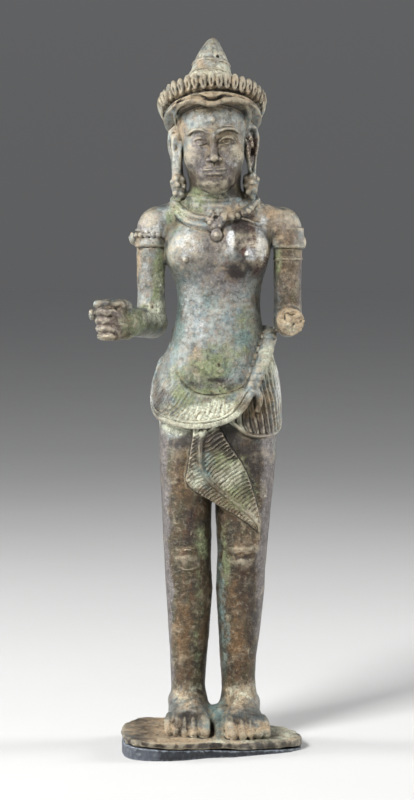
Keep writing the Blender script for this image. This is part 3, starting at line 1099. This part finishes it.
# Patina. Soft places by finish: x, height, reach across and up, strength, and side: 1 front, -1 back, 0 round.
patinaWork = {
    "earth": [(0, 217, 24, 4, 0.75, 0), (13, 92, 6, 12, 0.6, 1), (3, 187, 8, 3, 0.5, 1), (-3, 195, 9, 8, 0.45, 1),
        (0, 192, 10, 5, 0.6, 1), (0, 92, 26, 16, 0.8, 0), (0, 60, 26, 40, 0.95, 0), (0, 26, 26, 16, 0.8, 0),
        (-24, 162, 7, 14, 0.45, 0), (25, 158, 7, 20, 0.8, 0), (12, 112, 9, 9, 0.9, 0), (0, 216, 24, 6, 0.5, 0),
        (-34, 143, 8, 9, 0.85, 0), (0, 199, 11, 11, 0.62, 1), (0, 120, 30, 14, 0.5, -1), (0, 196, 12, 8, 0.5, 1),
        (5, 203, 7, 10, 0.4, 1), (0, 188, 16, 6, 0.62, 0), (2, 172, 8, 6, 0.35, 1), (14, 150, 5, 14, 0.35, 1),
        (0, 224, 26, 4, 0.5, 0), (20, 176, 8, 8, 0.6, 0), (1, 160, 8, 5, 0.35, 1)],
    "ochre": [(-12.4, 207, 4, 5, 0.5, 1), (4, 133, 3, 3, 0.35, 1), (-6, 130, 3, 3, 0.35, 1),
        (-22, 171, 7, 2.6, 0.6, 0), (-9, 16, 8, 5, 0.45, 1), (9, 17, 8, 6, 0.55, 1), (0, 216.6, 22, 3.2, 0.5, 1),
        (-26.2, 160, 1.3, 13, 0.7, 0), (24.8, 142, 5.4, 4.6, 0.95, 0), (-4, 129.4, 5, 5, 0.4, 1),
        (9, 67, 4.6, 5, 0.42, 1), (0, 5.4, 42, 4.6, 0.85, 0), (-9, 6, 9, 4, 0.75, 1), (9, 6, 9, 4, 0.75, 1),
        (-33, 142, 6, 5, 0.25, 1), (-7, 179.4, 8, 2.2, 0.4, 1), (8, 178.8, 6, 2.6, 0.5, 1),
        (17, 119, 2.6, 5, 0.5, 1), (12.4, 189, 3, 5, 0.4, 0), (-12.4, 189, 3, 5, 0.4, 0), (0, 229, 10, 6, 0.35, 0),
        (0, 222, 26, 7, 0.5, 0), (0, 205, 14, 12, 0.22, 1), (19, 178, 6, 5, 0.5, 0), (6, 178, 8, 3, 0.35, 1),
        (23, 170, 4, 4, 0.5, 1)],
    "green": [(-6, 112, 18, 9, 0.5, 1), (18, 128, 4, 8, 0.4, 1), (1, 131, 11, 8, 0.55, 1),
        (-5, 126, 8, 5, 0.45, 1), (1.2, 129.6, 5, 4.4, 0.5, 1), (0, 120.4, 12, 2.4, 0.7, 1),
        (-18.8, 158, 3, 13, 0.85, 1), (-21, 143.6, 6, 5, 0.5, 0), (-27, 142, 6, 5, 0.62, 0),
        (4, 98, 6.4, 6, 0.7, 1), (8, 88, 7, 10, 0.75, 1), (-5, 68.6, 2.6, 6, 0.66, 1), (3.4, 64, 2, 13, 0.6, 1),
        (-5.4, 42, 1.9, 22, 0.42, 1), (0.6, 186, 9, 3, 0.5, 1), (-8, 183, 8, 6, 0.5, 1), (-14, 178, 4, 7, 0.55, 1),
        (21, 163, 2, 8, 0.5, 1), (10, 141, 5, 9, 0.5, 1), (-12, 124, 4, 7, 0.5, 1), (0, 150, 9, 26, 0.45, -1),
        (-10, 70, 6, 22, 0.35, -1), (9, 40, 5, 20, 0.35, -1), (-24, 155, 5, 16, 0.4, -1)],
    "amber": [(0, 5, 40, 3, 0.5, 0), (8, 82, 9, 12, 0.35, 1), (9, 30, 6, 12, 0.4, 1), (-11, 38, 4, 18, 0.55, 1),
        (-12, 90, 4, 14, 0.45, 1), (7, 44, 3.4, 22, 0.45, 1), (-4, 44, 3, 18, 0.3, 1), (13, 84, 3, 10, 0.4, 1),
        (10, 66, 5, 6, 0.5, 1), (-33, 143, 8, 8, 0.4, 1), (24, 160, 4, 12, 0.35, 1), (-26.5, 160, 1.6, 12, 0.4, 0),
        (14, 112, 6, 8, 0.4, 1), (-9, 60, 12, 40, 0.3, -1), (9, 60, 12, 40, 0.3, -1)],
    "tan": [(-4, 167, 12, 9, 0.55, 1), (-22, 176, 8, 6, 0.45, 1), (22, 175, 8, 7, 0.4, 1),
        (-4, 201, 8, 12, 0.35, 1), (26, 158, 5, 18, 0.35, 1), (2, 154, 10, 7, 0.4, 1), (0, 232, 8, 9, 0.3, 0),
        (0, 180, 14, 4, 0.4, 1), (0, 60, 22, 50, 0.25, -1), (0, 170, 24, 14, 0.35, -1)],
    "mauve": [(0, 197, 11, 9, 0.55, 1), (-34, 143.6, 8, 8, 0.6, 1), (0.5, 175, 5, 6, 0.7, 1),
        (-17.6, 86, 2.2, 34, 0.85, 0), (-15.6, 42, 2, 36, 0.85, 0), (18.2, 86, 3.6, 34, 0.75, 0),
        (15.8, 42, 3.2, 36, 0.7, 0), (-3, 164, 9, 9, 0.55, 1), (5, 156, 9, 6, 0.6, 1), (-5, 199, 5, 8, 0.5, 1),
        (-24, 175, 5, 6, 0.5, 0), (29, 158, 2, 18, 0.6, 0), (0, 188, 8, 3, 0.4, 1), (0, 214.4, 14, 2, 0.5, 1),
        (22, 176, 7, 6, 0.4, 0), (10, 40, 4, 24, 0.2, 1)],
    "teal": [(-12, 176, 1.7, 1.7, 0.95, 1), (-12.6, 144, 2.6, 15, 0.62, 1), (8.6, 136.5, 5, 4, 0.75, 1),
        (-3.6, 95, 4.6, 8.6, 0.6, 1), (1.4, 52, 1.5, 26, 0.5, 1), (3.4, 38, 1.6, 20, 0.5, 1),
        (0.2, 11, 3.6, 7, 0.8, 1), (-5, 176, 3, 3, 0.3, 1), (-2, 150, 4, 4, 0.4, 1), (6, 126, 6, 4, 0.5, 1),
        (8, 108, 7, 12, 0.5, -1), (-8, 160, 6, 8, 0.4, -1), (-16, 134, 3, 5, 0.35, 1), (-17, 118, 6, 5, 0.15, 1)],
    "cream": [(-1, 112, 8, 4, 0.6, 1), (-6, 110, 14, 6, 0.8, 1), (2, 110, 9, 7, 0.6, 1),
        (-7, 90, 4.4, 5.6, 0.5, 1), (5, 91, 7, 8, 0.42, 1), (-18.5, 153, 2.4, 9, 0.45, 1), (12, 79, 4, 6, 0.4, 1),
        (0, 226, 24, 2, 0.55, 1), (24.8, 142, 5, 4, 0.4, 0), (-4, 108, 14, 4, 0.8, 1), (-9, 3, 30, 1.6, 0.4, 1),
        (0.4, 185, 8, 2, 0.5, 1), (-20, 146.6, 4.6, 5, 0.72, 1), (0, 233, 8, 8, 0.42, 0), (-8, 17, 8, 4.4, 0.3, 1),
        (8.4, 18, 8, 5, 0.36, 1), (-12, 180, 6, 4, 0.4, 1), (5, 93, 7, 7, 0.3, 1), (-17, 124, 4, 7, 0.25, 1),
        (20, 5, 12, 3, 0.5, 0), (17.5, 129, 4, 8, 0.6, 1), (0, 4, 40, 2.4, 0.3, 0), (0, 112, 26, 10, 0.4, -1),
        (-21, 172, 4, 6, 0.4, 1)],
    "red": [(10, 171, 7, 8.4, 1.0, 1), (15, 163, 4.4, 8, 0.72, 1), (6, 160, 6, 4, 0.5, 1),
        (12.6, 200, 2.4, 8, 0.8, 0), (-12.6, 200, 2.4, 8, 0.3, 0), (-18, 176, 6, 5, 0.3, 1),
        (-8.4, 74, 1.8, 8, 0.6, 1), (10, 60, 4, 4, 0.4, 1), (-34, 143, 6, 6, 0.4, 0), (24, 170, 4, 4, 0.4, 1),
        (9, 50, 4, 10, 0.4, 1), (9, 24, 4, 8, 0.4, 1), (12, 166, 7, 10, 0.5, -1)],
    "dark": [(-1, 196, 10, 9, 0.42, 1), (12, 80, 6, 24, 0.26, 1), (10, 56, 5, 12, 0.25, 1),
        (9.5, 38, 4, 18, 0.22, 1), (3, 186.5, 7, 3, 0.6, 1), (10, 91, 6, 11, 0.3, 1), (-17, 114, 5, 7, 0.5, 1),
        (1, 104, 9, 2.6, 0.7, 1), (13, 98, 4, 8, 0.5, 1), (-9, 104, 5, 3, 0.5, 1), (-9, 122.5, 4, 2, 0.4, 1),
        (8, 128, 3, 3, 0.35, 1), (-3, 133, 4, 2, 0.25, 1), (1, 121.8, 13, 2.2, 0.42, 1),
        (-13, 102, 5, 2.6, 0.6, 1), (-20, 117, 3, 8, 0.4, 1), (-9, 9.6, 7, 3, 0.5, 1), (9, 9.6, 7, 3, 0.4, 1),
        (-24, 5, 6, 4, 0.4, 0), (16, 4, 8, 3, 0.4, 0), (9, 173, 3.4, 6.4, 0.95, 1), (9, 160.6, 6.4, 3.4, 0.9, 1),
        (1.4, 123.5, 4.6, 1, 0.7, 1), (14, 109, 8, 5, 0.6, 1), (5, 101, 6, 3, 0.6, 1), (-8.5, 73, 1.8, 9, 0.7, 1),
        (9, 63, 5, 3.4, 0.5, 1), (-26, 6.4, 5, 5, 0.45, 1), (22, 4, 12, 3, 0.35, 1), (0, 188.4, 7, 2.4, 0.8, 1),
        (-9, 11, 6, 2.4, 0.5, 1), (8.6, 11.6, 6, 2.4, 0.45, 1), (0, 101, 14, 3, 0.6, 1), (14, 92, 3, 14, 0.4, 1),
        (-13, 92, 2.6, 14, 0.35, 1), (12.4, 42, 1.8, 20, 0.42, 1), (4, 106, 5, 6, 0.3, 1),
        (-11, 50, 1.6, 12, 0.3, 1)],
    "silver": [(-7, 152, 6.2, 11, 0.36, 1), (-6, 138, 5, 8, 0.3, 1), (-8.6, 168, 6, 6, 0.5, 1),
        (15.2, 170, 2.4, 6.4, 1.0, 1), (5, 169.4, 1.7, 4.6, 0.85, 1), (11.4, 165.6, 2, 2.6, 0.7, 1),
        (-21, 172, 5, 6, 0.6, 0), (5.6, 197, 3, 6, 0.35, 1), (1.7, 209, 8, 3.4, 0.35, 1), (0, 234, 7, 8, 0.3, 0),
        (-39.5, 143, 2, 8, 0.25, 1), (21.4, 121, 2.4, 9, 0.5, 0), (-21.4, 119, 2, 6, 0.5, 0),
        (-24, 156, 2, 12, 0.3, 1), (-9, 168, 7, 9, 0.5, -1), (9, 150, 6, 12, 0.4, -1), (10, 112, 7, 8, 0.3, -1),
        (-9, 55, 3, 16, 0.35, -1), (9, 84, 4, 14, 0.35, -1)],
}


def skinMarks(piece, smoothings=(5, 36), reaches=(0.24, 0.9)):
    # how far each point lies in a hollow or out on a ridge, at a fine and at a broad scale
    mesh = piece.data
    points, edges = np.empty(len(mesh.vertices) * 3, np.float32), np.empty(len(mesh.edges) * 2, np.int32)
    normals = np.empty(len(mesh.vertices) * 3, np.float32)
    mesh.vertices.foreach_get("co", points)
    mesh.vertices.foreach_get("normal", normals)
    mesh.edges.foreach_get("vertices", edges)
    points, normals, edges = points.reshape(-1, 3), normals.reshape(-1, 3), edges.reshape(-1, 2)
    place = (points - np.array(axis, np.float32)) / metre
    begin, end = np.concatenate([edges[:, 0], edges[:, 1]]), np.concatenate([edges[:, 1], edges[:, 0]])
    share = 1 / np.maximum(np.bincount(begin, minlength=len(place)), 1)
    worn, marks, done = place.astype(float), [], 0
    for rounds, reach in zip(smoothings, reaches):
        for _ in range(rounds - done):
            worn = np.column_stack([np.bincount(begin, worn[end, k], len(place)) * share for k in range(3)])
        done = rounds
        marks.append(np.clip(((worn - place) * normals).sum(1) / reach, -1, 1))
    return place, normals, marks


def writeMark(piece, name, values):
    mark = piece.data.attributes.new(name, "FLOAT", "POINT")
    mark.data.foreach_set("value", np.ascontiguousarray(values, np.float32))


def markPatina(piece):
    place, normals, (fine, broad) = skinMarks(piece)
    # the crown's grooves hold more dirt
    writeMark(piece, "hollow", np.clip(fine * (1 + 0.9 * ease(place[:, 2], 210, 216)), -1, 1))
    writeMark(piece, "fold", broad)
    x, y, z = place.T
    front = ease(-normals[:, 1], -0.3, 0.3)
    for kind, spots in patinaWork.items():
        shift = len(kind) + ord(kind[0])
        wx = x + 1.3 * grain(x, y, z, 5, shift) + 0.7 * grain(x, y, z, 2.2, shift)
        wz = z + 2.4 * grain(x, y, z, 6, shift + 3) + 1.1 * grain(x, y, z, 2.4, shift + 3)
        rest = np.ones(len(place))
        for middleX, middleZ, across, up, strength, side in spots:
            away = np.hypot((wx - middleX) / across, (wz - middleZ) / up)
            facing = 1 if side == 0 else front if side > 0 else 1 - front
            rest = rest * (1 - np.clip(strength * (1 - ease(away, 0.35, 1.35)) * facing, 0, 1))
        if kind == "dark":  # the slab's edge is dark all round
            upright = ease(1 - np.abs(normals[:, 2]), 0.3, 0.75)
            rest = rest * (1 - 0.9 * upright * (1 - ease(z - slabTop(x), -0.3, 0.3)))
        if kind == "ochre":  # the break is earthy all over
            broken = ease(x, 18, 20) * ease(-y, 6.6, 8) * (1 - ease(np.abs(z - stumpWork["z"]), 4.6, 5.6))
            rest = rest * (1 - 0.9 * broken)
        writeMark(piece, kind, 1 - rest)


# Materials
def tint(red, green, blue):
    # a colour given as it looks on a screen
    return (*(v / 12.92 if v < 0.04 else ((v + 0.055) / 1.055) ** 2.4 for v in (red, green, blue)), 1)


class Wire:
    # a value in a node tree; arithmetic on it adds Math nodes
    def __init__(self, finish, socket):
        self.finish, self.socket = finish, socket

    def maths(self, operation, a, b):
        return self.finish.node("ShaderNodeMath", {"operation": operation}, {0: a, 1: b})

    def __add__(self, other):
        return self.maths("ADD", self, other)

    def __sub__(self, other):
        return self.maths("SUBTRACT", self, other)

    def __rsub__(self, other):
        return self.maths("SUBTRACT", other, self)

    def __mul__(self, other):
        return self.maths("MULTIPLY", self, other)

    __radd__, __rmul__ = __add__, __mul__

    def most(self, other):
        return self.maths("MAXIMUM", self, other)

    def between(self, low, high, bottom=0, top=1):
        # an eased step from low to high
        return self.finish.node("ShaderNodeMapRange", {"interpolation_type": "SMOOTHSTEP"},
                                {0: self, 1: low, 2: high, 3: bottom, 4: top})


class Finish:
    def __init__(self, owner):
        owner.use_nodes = True
        self.owner, self.tree, self.place = owner, owner.node_tree, None

    def node(self, kind, settings, inputs, output=0):
        made = self.tree.nodes.new(kind)
        for name, value in settings.items():
            setattr(made, name, value)
        for name, value in inputs.items():
            if isinstance(value, Wire):
                self.tree.links.new(value.socket, made.inputs[name])
            else:
                made.inputs[name].default_value = value
        return Wire(self, made.outputs[output])

    def mark(self, name):
        return self.node("ShaderNodeAttribute", {"attribute_name": name}, {}, "Fac")

    def moved(self, by, stretch=(1, 1, 1)):
        self.place = self.place or self.node("ShaderNodeTexCoord", {}, {}, "Object")
        wide = self.node("ShaderNodeVectorMath", {"operation": "MULTIPLY"}, {0: self.place, 1: stretch})
        return self.node("ShaderNodeVectorMath", {"operation": "ADD"}, {0: wide, 1: (by, by * 0.7, by * 1.9)})

    def noise(self, size, shift=0.0, detail=3.0, rough=0.55, stretch=(1, 1, 1)):
        # smooth noise about 0.5, its size in millimetres
        return self.node("ShaderNodeTexNoise", {}, {
            "Vector": self.moved(shift, stretch), "Scale": 1 / (size * metre), "Detail": detail,
            "Roughness": rough})

    def cells(self, size, shift=0.0):
        return self.node("ShaderNodeTexVoronoi", {"feature": "F1"},
                         {"Vector": self.moved(shift), "Scale": 1 / (size * metre)})

    def blend(self, mask, under, over):
        return self.node("ShaderNodeMix", {"data_type": "RGBA"}, {0: mask, 6: under, 7: over}, 2)

    def wear(self, colour, roughness, metallic, height):
        # height in millimetres of relief
        shader = self.tree.nodes["Principled BSDF"]
        bump = self.node("ShaderNodeBump", {}, {"Strength": 1, "Distance": metre, "Height": height}, "Normal")
        wires = {"Base Color": colour, "Roughness": roughness, "Metallic": metallic, "Normal": bump}
        for name, value in wires.items():
            if isinstance(value, Wire):
                self.tree.links.new(value.socket, shader.inputs[name])
            else:
                shader.inputs[name].default_value = value


bronzeWork = {
    "base": ((0.58, 0.60, 0.58), (0.45, 0.50, 0.51), (0.52, 0.46, 0.40)),
    "baseMetallic": 0.88, "baseRoughness": 0.42,
    # from below: colour as seen (three for earth), metallic, roughness, and how widely noise breaks its edge
    "layers": {
        "earth": (((0.35, 0.255, 0.17), (0.28, 0.265, 0.18), (0.16, 0.145, 0.125)), 0.62, 0.38, 0.9),
        "amber": ((0.45, 0.34, 0.22), 0.45, 0.43, 1.1),
        "tan": ((0.59, 0.53, 0.465), 0.4, 0.46, 1.2),
        "mauve": ((0.45, 0.43, 0.43), 0.7, 0.41, 0.7),
        "ochre": ((0.67, 0.58, 0.46), 0.05, 0.75, 1.7),
        "green": ((0.51, 0.55, 0.40), 0.15, 0.7, 1.7),
        "teal": ((0.43, 0.52, 0.51), 0.4, 0.5, 1.5),
        "cream": ((0.83, 0.84, 0.75), 0, 0.75, 1.4),
        "red": ((0.27, 0.17, 0.14), 0.6, 0.27, 1.0),
        "dark": ((0.13, 0.09, 0.08), 0.3, 0.32, 1.4),
        "silver": ((0.74, 0.75, 0.75), 0.9, 0.38, 1.1),
    },
    "variation": (0.8, 1.14),  # darkest and palest of a layer, as shares of its colour
    "shade": (0.20, 0.18, 0.15), "bloom": (0.80, 0.79, 0.71), "dust": (0.60, 0.54, 0.43),
    "soot": (0.09, 0.075, 0.06), "rubbed": (0.70, 0.66, 0.57),
}


def bronzeFinish():
    w = bronzeWork
    f = Finish(bpy.data.materials.new("bronzePatina"))
    hollow, fold = f.mark("hollow"), f.mark("fold")
    broad, middle, small = f.noise(7, 0.1, 4, 0.6), f.noise(2.4, 0.4, 5, 0.65), f.noise(0.75, 0.7, 4, 0.65)
    speck, streak = f.noise(0.42, 0.9, 3), f.noise(1.6, 1.1, 4, 0.6, (1, 1, 0.16))
    first, second, third = (tint(*shade) for shade in w["base"])
    colour = f.blend(broad.between(0.35, 0.65), first, second)
    colour = f.blend(middle.between(0.42, 0.68) * 0.75, colour, third)
    metallic = w["baseMetallic"] - 0.25 * middle.between(0.45, 0.7)
    roughness = w["baseRoughness"] + 0.3 * (small - 0.5)
    crust = 0
    for k, (kind, (shade, shine, rough, spread)) in enumerate(w["layers"].items()):
        mask = f.mark(kind) + (f.noise(2.8, 1.3 + 0.37 * k, 6, 0.7) - 0.5) * spread + (speck - 0.5) * 0.35
        if kind in ("ochre", "green", "cream", "teal"):
            mask = mask + 0.12 * hollow  # crust stays longest in the hollows
        if kind in ("silver", "earth"):
            mask = mask + 0.5 * (streak - 0.5)
        mask = mask.between(0.18, 0.8)
        if kind in ("ochre", "green", "cream"):
            crust = mask if crust == 0 else crust.most(mask)
        if kind == "earth":
            brown, olive, black = (tint(*v) for v in shade)
            varied = f.blend(streak.between(0.3, 0.7), brown, olive)
            varied = f.blend(f.noise(4, 3.3, 5, 0.65).between(0.42, 0.66) * 0.8, varied, black)
        else:
            deep, pale = (tint(*(min(share * v, 1) for v in shade)) for share in w["variation"])
            varied = f.blend(small.between(0.28, 0.72), deep, pale)
        colour = f.blend(mask * 0.94, colour, varied)
        metallic = metallic * (1 - mask) + mask * shine
        roughness = roughness * (1 - mask) + mask * (rough + 0.3 * (small - 0.5))
    dull = 1 - 0.8 * f.mark("red").most(f.mark("dark")).between(0.3, 0.8)  # the dark shiny places stay clean
    mottle, cloud, grit = f.noise(1.5, 3.7, 5, 0.7), f.noise(4.5, 5.1, 4, 0.6), f.noise(0.85, 2.2, 5, 0.72)
    # pale dust in the shallow hollows, soot in the deep ones, rubbed metal on the ridges, and pinholes
    dust = hollow.between(0.08, 0.4) * middle.between(0.3, 0.6) * 0.6 * dull
    soot = (hollow.between(0.35, 0.95) * 0.92).most(fold.between(0.3, 0.95) * 0.6)
    rubbed = (0 - hollow).between(0.3, 0.9) * middle.between(0.3, 0.6) * 0.6
    holes = (1 - f.cells(1.5, 0.2).between(0.08, 0.2)) * middle.between(0.54, 0.6) * (1 - crust)
    films = [  # from below
        ((1 - mottle.between(0.34, 0.52)) * 0.42, "shade"), ((1 - cloud.between(0.3, 0.52)) * 0.48, "shade"),
        (mottle.between(0.52, 0.7) * 0.2 * dull, "bloom"), (dust, "dust"), (soot, "soot"), (rubbed, "rubbed"),
        (holes * 0.75, "soot"), (grit.between(0.54, 0.72) * (0.3 + 0.3 * crust) * dull, "dust"),
        ((1 - grit.between(0.3, 0.47)) * (0.42 + 0.3 * crust), "soot"),
    ]
    for mask, shadeName in films:
        colour = f.blend(mask, colour, tint(*w[shadeName]))
    metallic = metallic * (1 - dust.most(soot))
    height = 0.3 * (f.noise(2.2, 2.6, 4) - 0.5) + (0.42 + 0.5 * crust) * (grit - 0.5) + 0.06 * crust - 0.12 * holes
    f.wear(colour, roughness, metallic, height)
    return f.owner


slateWork = {"deep": (0.075, 0.085, 0.10), "pale": (0.14, 0.155, 0.18), "facet": (0.36, 0.38, 0.42),
             "edge": (0.50, 0.53, 0.56), "facetFades": (-19.5, -17.5)}


def slateFinish():
    f = Finish(bpy.data.materials.new("darkSlate"))
    hollow = f.mark("hollow")
    layers = f.noise(6, 0.1, 4, 0.6, (0.5, 0.5, 4))
    grit = f.noise(0.9, 0.5, 4, 0.65)
    colour = f.blend(layers.between(0.35, 0.68), tint(*slateWork["deep"]), tint(*slateWork["pale"]))
    edge = (0 - hollow).between(0.1, 0.7) * grit.between(0.35, 0.6)
    colour = f.blend(f.mark("facet") * 0.42, colour, tint(*slateWork["facet"]))
    colour = f.blend(edge * 0.75, colour, tint(*slateWork["edge"]))
    f.wear(colour, 0.5 + 0.3 * (grit - 0.5), 0, 0.14 * (grit - 0.5) + 0.2 * (layers - 0.5))
    return f.owner


floorWork = {"radius": 6, "darker": (0.755, 0.755, 0.75), "paler": (0.775, 0.775, 0.77)}


def floorFinish():
    f = Finish(bpy.data.materials.new("paleFloor"))
    colour = f.blend(f.noise(90, 0.4, 3), tint(*floorWork["darker"]), tint(*floorWork["paler"]))
    f.wear(colour, 0.85, 0, 0.05 * (f.noise(1.5, 0.8) - 0.5))
    return f.owner


markPatina(figure)
place, normals, marks = skinMarks(wedge)
writeMark(wedge, "hollow", marks[0])
writeMark(wedge, "facet", 1 - ease(place[:, 0], *slateWork["facetFades"]))
for piece, finish in ((figure, bronzeFinish()), (wedge, slateFinish())):
    piece.data.materials.clear()
    piece.data.materials.append(finish)
print("patina and slate made")

for piece, node, slotName in ((figure, "figure", "bronze"), (wedge, "wedge", "wedge_stone")):
    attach(piece, "root")
    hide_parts(node)

# Floor
bpy.ops.mesh.primitive_circle_add(vertices=96, radius=floorWork["radius"], fill_type="NGON", location=(0, 0, 0))
floor = bpy.context.object
floor.name = "floor"
floor.data.materials.append(floorFinish())

# Camera and light
cameraWork = {"away": 874, "side": -2.7, "height": 176, "aimHeight": 116.2, "frameHeight": 269.9,
              "sensor": 24}
camera = bpy.data.objects.new("camera", bpy.data.cameras.new("camera"))
bpy.context.scene.collection.objects.link(camera)
c = cameraWork
camera.location = axis + Vector((c["side"], -c["away"], c["height"])) * metre
aim = axis + Vector((c["side"], 0, c["aimHeight"])) * metre
sight = aim - camera.location
camera.rotation_euler = sight.to_track_quat("-Z", "Y").to_euler()
camera.data.sensor_fit = "VERTICAL"
camera.data.sensor_height = c["sensor"]
camera.data.lens = c["sensor"] * sight.length / (c["frameHeight"] * metre)
camera.data.clip_start = 0.01
bpy.context.scene.camera = camera

# name, place, size across and up, watts, spread in degrees; the side lamps keep off the floor beside them
lightWork = [
    ("key", (-700, -950, 950), (420, 420), 34, 180), ("fill", (1100, -900, 300), (700, 900), 2, 180),
    ("leftEdge", (-900, 150, 400), (300, 600), 2.8, 100), ("rightEdge", (900, 150, 400), (300, 600), 2.8, 100),
]
lampAim = 120  # height that every lamp faces
for name, place, (wide, tall), watts, spread in lightWork:
    light = bpy.data.objects.new(name, bpy.data.lights.new(name, "AREA"))
    bpy.context.scene.collection.objects.link(light)
    light.data.shape = "RECTANGLE"
    light.data.spread = math.radians(spread)
    light.data.size, light.data.size_y, light.data.energy = wide * metre, tall * metre, watts
    light.location = axis + Vector(place) * metre
    toward = axis + Vector((0, 0, lampAim)) * metre - light.location
    light.rotation_euler = toward.to_track_quat("-Z", "Y").to_euler()

# the room is a little darker towards the floor's far edge, so that the two run together
roomWork = {"low": (0.113, 0.1145, 0.117, 1), "high": (0.19, 0.193, 0.2, 1)}
room = bpy.data.worlds.new("studio")
sky = Finish(room)
rise = sky.node("ShaderNodeSeparateXYZ", {}, {0: sky.node("ShaderNodeTexCoord", {}, {}, "Generated")}, "Z")
glow = sky.blend(rise.between(0, 0.5), roomWork["low"], roomWork["high"])
sky.tree.links.new(glow.socket, sky.tree.nodes["Background"].inputs["Color"])
bpy.context.scene.world = room
bpy.context.scene.view_settings.view_transform = "Standard"
print("lights and camera set")
